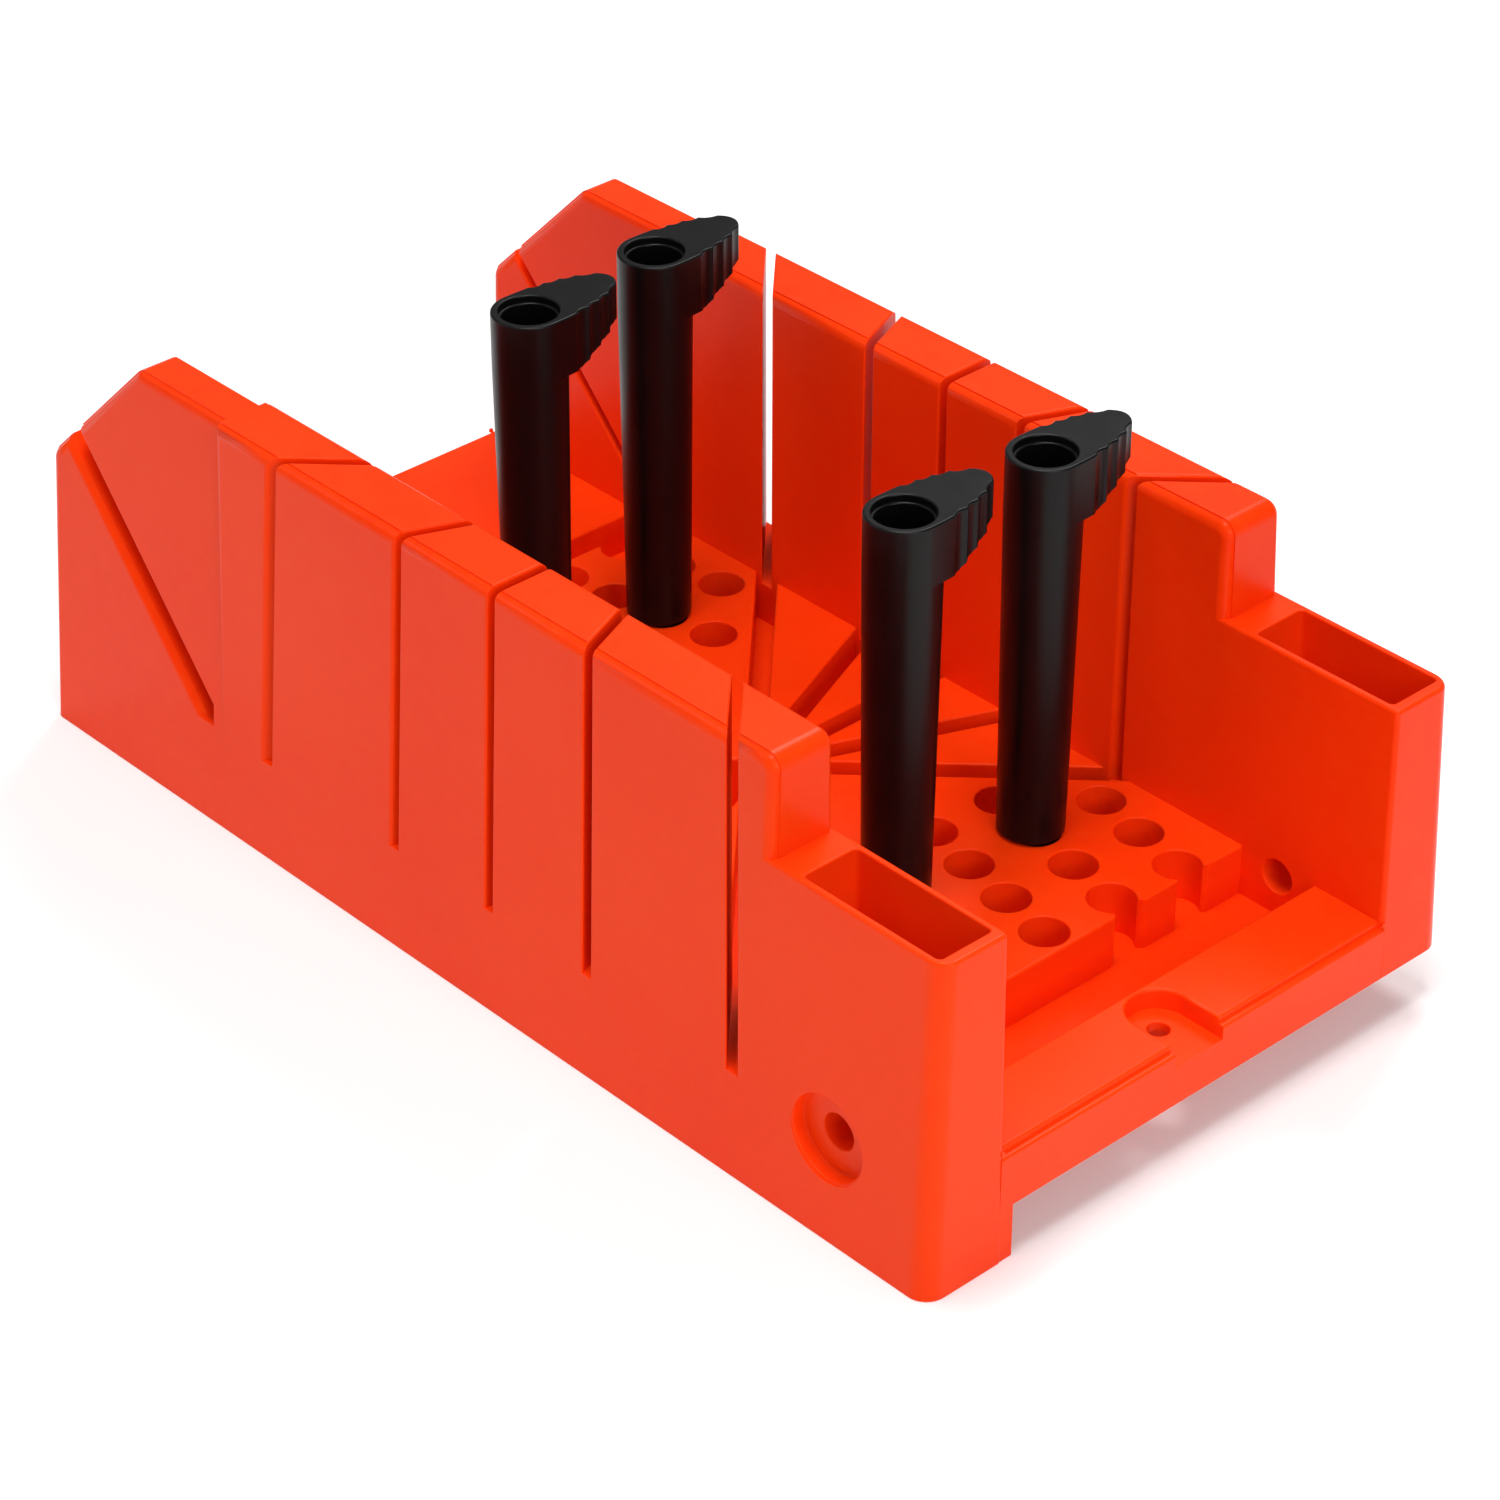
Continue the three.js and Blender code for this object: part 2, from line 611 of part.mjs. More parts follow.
// The pegs stand in the first row of holes, one hole apart, at both halves of the deck.
const pegGeometry = geometryOf(camPeg());
const spigotGeometry = geometryOf(spigot());
const pegHole = (side, column) => {
  const place = GRID_START.clone().addScaledVector(GRID_COLUMN, column);
  return new THREE.Vector2(side * place.x, place.y);
};
const pegPlaces = [pegHole(-1, 3), pegHole(-1, 1), pegHole(1, 3), pegHole(1, 1)];
pegPlaces.forEach((hole, i) => {
  const peg = named(`cam_peg_${i + 1}`, pegGeometry, blackPlastic);
  peg.position.set(hole.x + CAM_OFFSET, hole.y, DECK_TOP + GAP);
  const pin = named(`cam_peg_${i + 1}_spigot`, spigotGeometry, blackPlastic);
  pin.position.set(hole.x, hole.y, DECK_TOP);
  root.add(peg, pin);
});

export default root;
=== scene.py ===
"""Looks of the clamping mitre box: the moulding and its pegs with their small roundings, and their materials.

Shapes are worked out in millimetres and scaled to metres when they are placed.
"""

import math

import bmesh
import bpy
from mathutils import Matrix, Vector


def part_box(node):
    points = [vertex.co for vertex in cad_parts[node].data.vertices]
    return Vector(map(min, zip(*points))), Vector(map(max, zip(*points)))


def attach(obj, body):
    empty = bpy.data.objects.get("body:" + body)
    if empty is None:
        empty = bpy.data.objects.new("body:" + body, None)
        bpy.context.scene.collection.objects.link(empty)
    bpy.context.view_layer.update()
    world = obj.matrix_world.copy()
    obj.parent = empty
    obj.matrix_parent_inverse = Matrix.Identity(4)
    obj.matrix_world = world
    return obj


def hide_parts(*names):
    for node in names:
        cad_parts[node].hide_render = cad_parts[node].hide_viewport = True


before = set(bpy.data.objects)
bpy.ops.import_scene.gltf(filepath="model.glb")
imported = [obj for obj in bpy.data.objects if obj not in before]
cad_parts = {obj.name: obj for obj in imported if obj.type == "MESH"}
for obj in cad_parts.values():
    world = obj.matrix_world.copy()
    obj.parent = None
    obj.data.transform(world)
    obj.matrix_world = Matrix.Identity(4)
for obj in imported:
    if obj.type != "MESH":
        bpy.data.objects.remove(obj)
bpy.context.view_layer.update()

MM = 0.001

# ---- Box: the sizes of the CAD part ----
FAR_END = -195
NEAR_END = 165
HALF_BASE = 95
HALF_CHANNEL = 69.5
FENCE_TOP = 111
HOOK_DROP = 16
HOOK_THICKNESS = 29
WALL = 2.6
SIDE_DRAFT = 0.048
END_DRAFT = 0.0001
EDGE = 3
CORNER = 4.5
WITNESS = 0.4  # the fine step where the tops' rounding starts

SMALL_CORNER = 1.5  # upright corners of the pocket and of the near block's inner side
BLOCK_EDGE = 1

TALL_NEAR_END = 105.6
STEP_X = -116
STEP_SETBACK = 2.9
CHAMFER = 41
POCKET_TOP = 82.6
POCKET_FLOOR = 30
POCKET_START = 114.8
POCKET_END = NEAR_END - WALL - 1
POCKET_RIM = 2.4
POCKET_ROUNDING = 0.5
NEAR_CORNER = 6
ROOF = 3

CUT_ANGLES = (45, 22.5, 0, -22.5, -45)
CUT_WIDTH = 2.8
CUT_FLOOR = 15
CUT_ROUNDING = 0.7
BEVEL_END_X = -119
BEVEL_LINE = -102.7  # x + z on the bevel cut's middle plane
BEVEL_OUTER_LOW = -4  # the cut's lower side in the outer face, from its middle plane
BEVEL_OUTER_HIGH = 3.4
BEVEL_LIP = 2  # the 45 degree slope along its lower side in the outer face
BEVEL_ROUNDING = 0.8

FLOOR = 2.5
DECK_TOP = 18
DECK_HALF_LENGTH = 116
DECK_ROUNDING = 0.8
GROOVE_WIDTH = 6
PLATFORM_TOP = 15
PLATFORM_END = -128
PLATFORM_RIBS = (-46, -23, 23, 46)
RAIL_START = 141
RAIL_RIBS = (-35, 35)
LEDGE_WIDTH = 1.8
LEDGE_DROP = 2

NOTCH_RADIUS = 8.75
NOTCH_REACH = 14
NOTCH_DEPTH = 6
SCREW_RADIUS = 3
SCREW_ROUNDING = 0.4
SIDE_HOLE = (128.5, 14.2)
SIDE_HOLE_RADIUS = 5
RECESS_RADIUS = 12.2
RECESS_DEPTH = 4
RECESS_ROUNDING = 0.6
SIDE_HOLE_BREAK = 0.5  # small chamfers inside the recess and at the hole's inner end

HOLE_RADIUS = 6.75
HOLE_WALL = 2  # of the tubes under the deck
HOLE_ROUNDING = 0.45
GRID_START = Vector((75.8, 57.5))  # the hole of row 0 nearest the back fence
GRID_ROW = Vector((17.3, -3.6))
GRID_COLUMN = Vector((-1.4, -23.7))
HOLE_ROWS = (-1, 0, 1, 2)
HOLE_COLUMNS = 5
OPEN_ROW = 2  # its first holes break out through the deck's end
OPEN_COLUMNS = 2
OPEN_WIDTH = 9
OPEN_ROUNDING = 2.4

# ---- Pegs ----
PEG_HEIGHT = 115.7
PEG_FOOT_RADIUS = 9.3
PEG_HEAD_RADIUS = 10.4
PEG_FOOT_ROUND = 1.5
PEG_BORE_RADIUS = 7.4
PEG_BORE_FLOOR = 12
PEG_MOUTH_RADIUS = 8.3
PEG_MOUTH_DEPTH = 2
PEG_MOUTH_CHAMFER = 0.4
PEG_MOUTH_ROUNDING = 0.5
NECK_OVERLAP = 4  # how far the shaft runs up inside the head
NECK_GAP = 0.02  # keeps the shaft's side just inside the head's
LEVER_REACH = 29.4
LEVER_ROOT_DEPTH = 17.5
LEVER_TIP_DEPTH = 9.9
LEVER_ROUNDING = 0.6
LEVER_BLUNTNESS = 2.4  # 2 would be an ellipse in plan
LEVER_STEPS = 72
LEVER_UNDERSIDE_START = 10.7
LEVER_UNDERSIDE_STEPS = 24
LEVER_UNDERSIDE_RIPPLE = 0.5
FLUTES = 4
FLUTES_START = 8.5
FLUTES_END = 27
FLUTE_DEPTH = 0.85
FLUTE_LEAN = 0.4  # how much a flute leans back to the shaft
SPIGOT_RADIUS = 6.35
SPIGOT_LENGTH = 13.5
SPIGOT_CHAMFER = 1

# ---- Studio ----
STUDIO_REACH = 4000
STUDIO_FLOOR_THICKNESS = 21.8
STUDIO_FLOOR_GAP = 0.2
CAMERA_PLACE = (762.1, -704.5, 711.9)
CAMERA_BACK = (0.6123, -0.5650, 0.5530)
CAMERA_RIGHT = (0.6781, 0.7350, 0.0002)
LENS = 110

# ---- Modelling ----
ARC_STEPS = 4  # facets in a small quarter-round
SHARPEST_CORNER = 0.35  # cosine of half the sharpest turn that an inset outline follows
PAST = 1.0  # how far a cutting shape runs past what it cuts

X = Vector((1, 0, 0))
Y = Vector((0, 1, 0))
Z = Vector((0, 0, 1))


# ---- Mesh helpers ----


def new_object(name, bm):
    bmesh.ops.recalc_face_normals(bm, faces=bm.faces)
    mesh = bpy.data.meshes.new(name)
    bm.to_mesh(mesh)
    bm.free()
    obj = bpy.data.objects.new(name, mesh)
    bpy.context.scene.collection.objects.link(obj)
    return obj


def loft(loops, name="shape"):
    """A closed solid through loops of equally many points, with a flat cap on the first and the last."""
    bm = bmesh.new()
    rings = [[bm.verts.new(point) for point in loop] for loop in loops]
    count = len(rings[0])
    for low, high in zip(rings, rings[1:]):
        for i in range(count):
            j = (i + 1) % count
            bm.faces.new((low[i], low[j], high[j], high[i]))
    bm.faces.new(list(reversed(rings[0])))
    bm.faces.new(rings[-1])
    return new_object(name, bm)


def lathe(profile, place, segments=64, name="shape"):
    """Turns (radius, height) points round an axis. A radius of 0 at either end closes the solid."""
    bm = bmesh.new()
    rings = []
    for radius, height in profile:
        if radius == 0:
            rings.append([bm.verts.new(place(0, 0, height))])
            continue
        turns = [2 * math.pi * i / segments for i in range(segments)]
        rings.append([bm.verts.new(place(radius * math.cos(a), radius * math.sin(a), height)) for a in turns])
    for low, high in zip(rings, rings[1:]):
        for i in range(segments):
            j = (i + 1) % segments
            corners = [low[i % len(low)], low[j % len(low)], high[j % len(high)], high[i % len(high)]]
            bm.faces.new(list(dict.fromkeys(corners)))
    return new_object(name, bm)


def box(x0, x1, y0, y1, z0, z1):
    corners = [(x0, y0), (x1, y0), (x1, y1), (x0, y1)]
    return loft([[(x, y, z0) for x, y in corners], [(x, y, z1) for x, y in corners]])


def upright(u, v, w):
    return Vector((u, v, w))


def along_y(u, v, w):
    return Vector((u, w, v))


def quarter_angles(steps=ARC_STEPS):
    return [math.pi / 2 * step / steps for step in range(steps + 1)]


def quarter(radius, steps=ARC_STEPS):
    """(shift, rise) pairs of a quarter-round, from an upright side to a level top."""
    return [(radius * (1 - math.cos(a)), radius * math.sin(a)) for a in quarter_angles(steps)]


def inset_outline(points, distance):
    """Moves each side of an anticlockwise outline inwards."""
    moved = []
    for i, here in enumerate(points):
        into = (here - points[i - 1]).normalized()
        out = (points[(i + 1) % len(points)] - here).normalized()
        normal = Vector((-into.y - out.y, into.x + out.x)).normalized()
        spread = max(SHARPEST_CORNER, normal.dot(Vector((-out.y, out.x))))
        moved.append(here + normal * (distance / spread))
    return moved


def rounded_outline(corners, steps=8):
    """An anticlockwise outline through corners (x, y, radius), each rounded by its radius."""
    points = []
    for i, (x, y, radius) in enumerate(corners):
        here = Vector((x, y))
        if not radius:
            points.append(here)
            continue
        back = (Vector(corners[i - 1][:2]) - here).normalized()
        ahead = (Vector(corners[(i + 1) % len(corners)][:2]) - here).normalized()
        half_angle = back.angle(ahead) / 2
        centre = here + (back + ahead).normalized() * (radius / math.sin(half_angle))
        start = math.atan2(-back.x, back.y) - math.pi
        sweep = math.pi - 2 * half_angle
        for step in range(steps + 1):
            a = start + sweep * step / steps
            points.append(centre + radius * Vector((math.cos(a), math.sin(a))))
    return points


def prism(outline, low, high, place, low_edge=0, high_edge=0, witness=0):
    """Extrudes an outline from low to high.

    Each end's edge can be rounded, with a fine step where the rounding starts.
    """
    levels = []
    if low_edge:
        levels += [(witness + inset, low + low_edge - rise) for inset, rise in reversed(quarter(low_edge))]
    if witness and low_edge:
        levels.append((0, low + low_edge))
    if not low_edge:
        levels.append((0, low))
    if witness and high_edge:
        levels.append((0, high - high_edge))
    if high_edge:
        levels += [(witness + inset, high - high_edge + rise) for inset, rise in quarter(high_edge)]
    else:
        levels.append((0, high))
    return loft([[place(p.x, p.y, w) for p in inset_outline(outline, inset)] for inset, w in levels])


def plan_cutter(outline, low, top, rounding):
    """A cutting shape with an outline in plan that rounds the edge it leaves at the top."""
    edge = [(-shift, top - rounding + rise) for shift, rise in quarter(rounding)]
    levels = [(0, low)] + edge + [(-rounding, top + PAST)]
    return loft([[Vector((p.x, p.y, w)) for p in inset_outline(outline, inset)] for inset, w in levels])


def circle(x, y, radius, segments=48):
    turns = [2 * math.pi * i / segments for i in range(segments)]
    return [Vector((x + radius * math.cos(a), y + radius * math.sin(a))) for a in turns]


def rectangle(x0, x1, y0, y1):
    return [Vector((x0, y0)), Vector((x1, y0)), Vector((x1, y1)), Vector((x0, y1))]


def turned(points, degrees):
    spin = Matrix.Rotation(math.radians(degrees), 2)
    return [spin @ p for p in points]


def flare(start, end, across, into, half_width, rounding, end_half_width=None):
    """A cutting shape that rounds both edges of a slot, along the line where its middle meets a face."""
    loops = []
    for origin, half in ((start, half_width), (end, end_half_width or half_width)):
        side = [(half + rounding, -PAST)]
        for a in quarter_angles():
            side.append((half + rounding * (1 - math.sin(a)), rounding * (1 - math.cos(a))))
        section = side + [(-u, w) for u, w in reversed(side)]
        loops.append([origin + across * u + into * w for u, w in section])
    return loft(loops)


def edge_round(start, end, side, up, rounding):
    """A cutting shape that rounds one straight outside edge between a side face and a top face."""
    section = [(-rounding, PAST), (PAST, PAST), (PAST, -rounding)]
    for a in quarter_angles():
        section.append((rounding * (math.cos(a) - 1), rounding * (math.sin(a) - 1)))
    return loft([[origin + side * u + up * w for u, w in section] for origin in (start, end)])


def combine(target, tools, operation):
    for tool in tools:
        step = target.modifiers.new("step", "BOOLEAN")
        step.operation = operation
        step.solver = "MANIFOLD"
        step.object = tool
    graph = bpy.context.evaluated_depsgraph_get()
    mesh = bpy.data.meshes.new_from_object(target.evaluated_get(graph))
    target.modifiers.clear()
    target.data = mesh
    for tool in tools:
        bpy.data.objects.remove(tool)
    return target


def cut(target, tools):
    return combine(target, tools, "DIFFERENCE")


def join(target, tools):
    return combine(target, tools, "UNION")


def copy_of(obj, mirror=None):
    twin = obj.copy()
    twin.data = obj.data.copy()
    bpy.context.scene.collection.objects.link(twin)
    if mirror:
        twin.data.transform(Matrix.Diagonal((*mirror, 1)))
        twin.data.flip_normals()
    return twin


# ---- Front fence ----


def thinning(z, setback=STEP_SETBACK):
    """How far each face of the thinner stretch stands back at a height."""
    return setback * (z + HOOK_DROP) / (FENCE_TOP + HOOK_DROP)


def outer_y(z, thin=False):
    """Where the front fence's outer face stands at a height."""
    return -HALF_BASE + SIDE_DRAFT * z + (thinning(z) if thin else 0)


def inner_y(z, thin=False):
    """Where the channel's face of the front fence stands at a height."""
    return -HALF_CHANNEL - (thinning(z) if thin else 0)


def lean(obj, setback=0, end_draft=END_DRAFT):
    """Gives a piece of the front fence its moulding draft, and a setback that grows with height."""
    for vertex in obj.data.vertices:
        x, y, z = vertex.co
        share = (y + HALF_CHANNEL) / (HALF_CHANNEL - HALF_BASE)
        thinned = thinning(z, setback)
        vertex.co.x = x * (1 - end_draft * z)
        vertex.co.y = y + share * (SIDE_DRAFT * z + thinned) - (1 - share) * thinned
    return obj


def cut_slab(angle, width, low, high):
    """The room of an upright saw cut through the middle of the box, turned to its angle."""
    half_length = HALF_BASE * 1.5
    outline = turned(rectangle(-width / 2, width / 2, -half_length, half_length), -angle)
    return prism(outline, low, high, upright)


def bevel_bar(corners, margin):
    """A bar through the front fence at 45 degrees, from corners (across, y) of its section.

    It stops where the bevel cut does, or a margin further on.
    """
    across = Vector((1, 0, 1)).normalized()
    along = Vector((-1, 0, 1)).normalized()
    low_x = BEVEL_END_X + CHAMFER / 2
    low = Vector((low_x, 0, BEVEL_LINE - low_x))
    ends = (low, low + along * 4 * CHAMFER)
    bar = loft([[end + across * u + Y * y for u, y in corners] for end in ends])
    lean(bar, STEP_SETBACK, 0)
    past = 2 * HALF_BASE
    top = FENCE_TOP + past
    room = box(FAR_END - past, BEVEL_END_X + margin, -past, 0, CUT_FLOOR - margin, top)
    return combine(bar, [room], "INTERSECT")


def bevel_cut():
    """The bevel cut, which narrows from the outer face to the channel's face.

    It has a lip along its lower side, and its edges in the outer face are rounded.
    """
    half = CUT_WIDTH / 2
    soft = BEVEL_ROUNDING
    low_edge = BEVEL_OUTER_LOW - BEVEL_LIP
    corners = [
        (low_edge - soft, -HALF_BASE - PAST),
        (BEVEL_OUTER_HIGH + soft, -HALF_BASE - PAST),
        (BEVEL_OUTER_HIGH + soft, -HALF_BASE),
        (BEVEL_OUTER_HIGH + 0.3 * soft, -HALF_BASE + 0.3 * soft),
        (BEVEL_OUTER_HIGH, -HALF_BASE + soft),
        (half, -HALF_CHANNEL),
        (half, -HALF_CHANNEL + 2 * PAST),
        (-half, -HALF_CHANNEL + 2 * PAST),
        (-half, -HALF_CHANNEL),
        (BEVEL_OUTER_LOW, -HALF_BASE + BEVEL_LIP),
        (low_edge + 0.7 * soft, -HALF_BASE + 0.7 * soft),
        (low_edge, -HALF_BASE + 0.2 * soft),
        (low_edge - soft, -HALF_BASE),
    ]
    return bevel_bar(corners, 0)


def bevel_walls():
    """The room that the bevel cut and the walls round it take up in the fence's hollow."""
    low = BEVEL_OUTER_LOW - WALL
    high = BEVEL_OUTER_HIGH + WALL
    outer, inner = -HALF_BASE, -HALF_CHANNEL
    return bevel_bar([(low, outer), (high, outer), (high, inner), (low, inner)], WALL)


def fence_shell():
    """The front fence as a solid: the tall stretch, the thinner far stretch, the near block and the hook."""
    bottom = -HOOK_DROP
    under = bottom - EDGE - PAST
    tall = [
        (STEP_X, under, 0),
        (TALL_NEAR_END, under, 0),
        (TALL_NEAR_END, FENCE_TOP, CORNER),
        (STEP_X, FENCE_TOP, 0),
    ]
    thin_end = STEP_X + 3 * EDGE
    thin = [
        (FAR_END, under, 0),
        (thin_end, under, 0),
        (thin_end, FENCE_TOP, 0),
        (FAR_END + CHAMFER, FENCE_TOP, CORNER),
        (FAR_END, FENCE_TOP - CHAMFER, CORNER),
    ]
    block = [
        (TALL_NEAR_END - 2 * NEAR_CORNER, -HALF_BASE, 0),
        (NEAR_END, -HALF_BASE, NEAR_CORNER),
        (NEAR_END, -HALF_CHANNEL, SMALL_CORNER),
        (TALL_NEAR_END - 2 * NEAR_CORNER, -HALF_CHANNEL, 0),
    ]
    fence = lean(prism(rounded_outline(tall), -HALF_BASE, -HALF_CHANNEL, along_y, EDGE, EDGE, WITNESS))
    far_stretch = prism(rounded_outline(thin), -HALF_BASE, -HALF_CHANNEL, along_y, EDGE, EDGE, WITNESS)
    pieces = [
        lean(far_stretch, STEP_SETBACK),
        lean(prism(rounded_outline(block), under, POCKET_TOP, upright, 0, BLOCK_EDGE)),
        box(FAR_END + PAST, NEAR_END, -HALF_CHANNEL - EDGE, -HALF_BASE + HOOK_THICKNESS, bottom, 0),
    ]
    join(fence, pieces)
    below = box(FAR_END * 2, NEAR_END * 2, -2 * HALF_BASE, 0, 3 * bottom, bottom)
    return cut(fence, [below])


def side_bar(low, high, radius, segments=64):
    """A round bar along Y on the axis of the side screw hole."""
    x, z = SIDE_HOLE
    profile = [(0, low), (radius, low), (radius, high), (0, high)]
    return lathe(profile, lambda u, v, w: Vector((x + u, w, z + v)), segments)


def fence_hollow():
    """The room inside the front fence, open below, less the walls round its cuts and screw place."""
    opening = -HOOK_DROP - PAST
    outer = -HALF_BASE + WALL
    inner = -HALF_CHANNEL - WALL
    roof = FENCE_TOP - ROOF
    slope = WALL * (math.sqrt(2) - 1)
    thin = [
        (FAR_END + WALL, opening),
        (STEP_X + 2 * WALL, opening),
        (STEP_X + 2 * WALL, roof),
        (FAR_END + CHAMFER + slope, roof),
        (FAR_END + WALL, FENCE_TOP - CHAMFER - slope - WALL),
    ]
    hollow = lean(prism([Vector(p) for p in thin], outer, inner, along_y), STEP_SETBACK)
    join(hollow, [lean(box(STEP_X + WALL, TALL_NEAR_END - WALL, outer, inner, opening, roof))])
    walls = [cut_slab(a, CUT_WIDTH + 2 * WALL, CUT_FLOOR - WALL, FENCE_TOP) for a in CUT_ANGLES]
    cut(hollow, walls + [bevel_walls()])
    under_pocket = box(TALL_NEAR_END + PAST, NEAR_END - WALL, outer, inner, opening, POCKET_FLOOR - WALL)
    lean(under_pocket)
    cup = side_bar(-HALF_BASE - PAST, -HALF_BASE + RECESS_DEPTH + WALL, RECESS_RADIUS + WALL)
    tube = side_bar(-HALF_BASE - PAST, -HALF_CHANNEL + PAST, SIDE_HOLE_RADIUS + WALL)
    cut(under_pocket, [cup, tube])
    return [hollow, under_pocket]


def side_recess():
    """The screw's hole through the fence, with its round recess in the outer face."""
    x, z = SIDE_HOLE
    face = outer_y(z)
    deep = face + RECESS_DEPTH
    inside = -HALF_CHANNEL
    wide = RECESS_RADIUS
    small = SIDE_HOLE_RADIUS
    rim = RECESS_ROUNDING
    bevel = SIDE_HOLE_BREAK
    profile = [(0, face - RECESS_DEPTH), (wide + rim, face - RECESS_DEPTH), (wide + rim, face)]
    for a in quarter_angles()[1:]:
        profile.append((wide + rim * (1 - math.sin(a)), face + rim * (1 - math.cos(a))))
    profile += [(wide, deep - bevel), (wide - bevel, deep), (small + bevel, deep), (small, deep + bevel)]
    profile += [(small, inside - bevel), (small + bevel, inside)]
    profile += [(small + bevel, inside + PAST), (0, inside + PAST)]
    return lathe(profile, lambda u, v, w: Vector((x + u, w, z + v)), 96)


def pocket():
    outer = -HALF_BASE + POCKET_RIM
    inner = -HALF_CHANNEL - POCKET_RIM
    corners = [(POCKET_START, outer), (POCKET_END, outer), (POCKET_END, inner), (POCKET_START, inner)]
    outline = rounded_outline([(x, y, SMALL_CORNER) for x, y in corners])
    return lean(plan_cutter(outline, POCKET_FLOOR, POCKET_TOP, POCKET_ROUNDING))


def cut_flares():
    """Roundings of the saw cuts' edges on the fence's outer face, inner face and top."""
    flares = []
    for angle in CUT_ANGLES:
        tangent = math.tan(math.radians(angle))
        half = CUT_WIDTH / 2 / math.cos(math.radians(angle))
        across_top = Vector((math.cos(math.radians(angle)), -math.sin(math.radians(angle)), 0))
        low, high = CUT_FLOOR, FENCE_TOP + PAST
        for face, into in ((outer_y, 1), (inner_y, -1)):
            ends = [Vector((face(z) * tangent, face(z), z)) for z in (low, high)]
            depth = Vector((tangent * into, into, 0))
            flares.append(flare(*ends, X, depth, half, CUT_ROUNDING))
        ends = [Vector((y * tangent, y, FENCE_TOP)) for y in (-HALF_BASE - PAST, -HALF_CHANNEL + PAST)]
        flares.append(flare(*ends, across_top, -Z, CUT_WIDTH / 2, CUT_ROUNDING))
    return flares


def bevel_flares():
    """Roundings of the bevel cut's edges on the channel's face and on the fence's sloping end."""
    across = Vector((1, 0, 1)).normalized()
    end_x = (BEVEL_LINE - (FENCE_TOP - FAR_END - CHAMFER)) / 2
    end = Vector((end_x, 0, BEVEL_LINE - end_x))
    high = end + Vector((-EDGE, 0, EDGE))
    low_z = CUT_FLOOR + CUT_ROUNDING + CUT_WIDTH
    low = Vector((BEVEL_LINE - low_z, 0, low_z))
    ends = [point + Y * inner_y(point.z, thin=True) for point in (high, low)]
    half = CUT_WIDTH / 2
    face = flare(*ends, across, -Y, half, CUT_ROUNDING)
    outer = end + across * (BEVEL_OUTER_HIGH + BEVEL_OUTER_LOW) / 2 + Y * outer_y(end.z, thin=True)
    inner = end + Y * (inner_y(end.z, thin=True) + PAST)
    into_end = Vector((1, 0, -1)).normalized()
    outer_half = (BEVEL_OUTER_HIGH - BEVEL_OUTER_LOW) / 2
    return [face, flare(outer, inner, across, into_end, outer_half, CUT_ROUNDING, half)]


def front_fence():
    """The front fence with its hollow, saw cuts, bevel cut, pocket and screw place."""
    fence = fence_shell()
    cut(fence, fence_hollow())
    slabs = [cut_slab(a, CUT_WIDTH, CUT_FLOOR, FENCE_TOP + PAST) for a in CUT_ANGLES]
    cut(fence, [pocket(), side_recess(), bevel_cut()] + slabs + cut_flares() + bevel_flares())
    return fence


# ---- Base ----


def hole_places():
    """(x, y, breaks out) of each peg hole in the deck's near half, clear of the outermost groove."""
    places = []
    for row in HOLE_ROWS:
        for column in range(HOLE_COLUMNS):
            place = GRID_START + row * GRID_ROW + column * GRID_COLUMN
            from_groove = (place.x - abs(place.y)) / math.sqrt(2) - GROOVE_WIDTH / 2
            if from_groove < HOLE_RADIUS + HOLE_WALL:
                continue
            places.append((place.x, place.y, row == OPEN_ROW and column < OPEN_COLUMNS))
    return places


def hole_cutters():
    """The peg holes of the deck's near half. Two break out through its end."""
    tools = []
    half = OPEN_WIDTH / 2
    for x, y, is_open in hole_places():
        tools.append(plan_cutter(circle(x, y, HOLE_RADIUS), FLOOR, DECK_TOP, HOLE_ROUNDING))
        if not is_open:
            continue
        throat = rectangle(x, DECK_HALF_LENGTH + PAST, y - half, y + half)
        tools.append(plan_cutter(throat, FLOOR, DECK_TOP, HOLE_ROUNDING))
        mouth = [Vector((DECK_HALF_LENGTH, y, z)) for z in (FLOOR, DECK_TOP + PAST)]
        tools.append(flare(*mouth, Y, -X, half, OPEN_ROUNDING))
    return tools


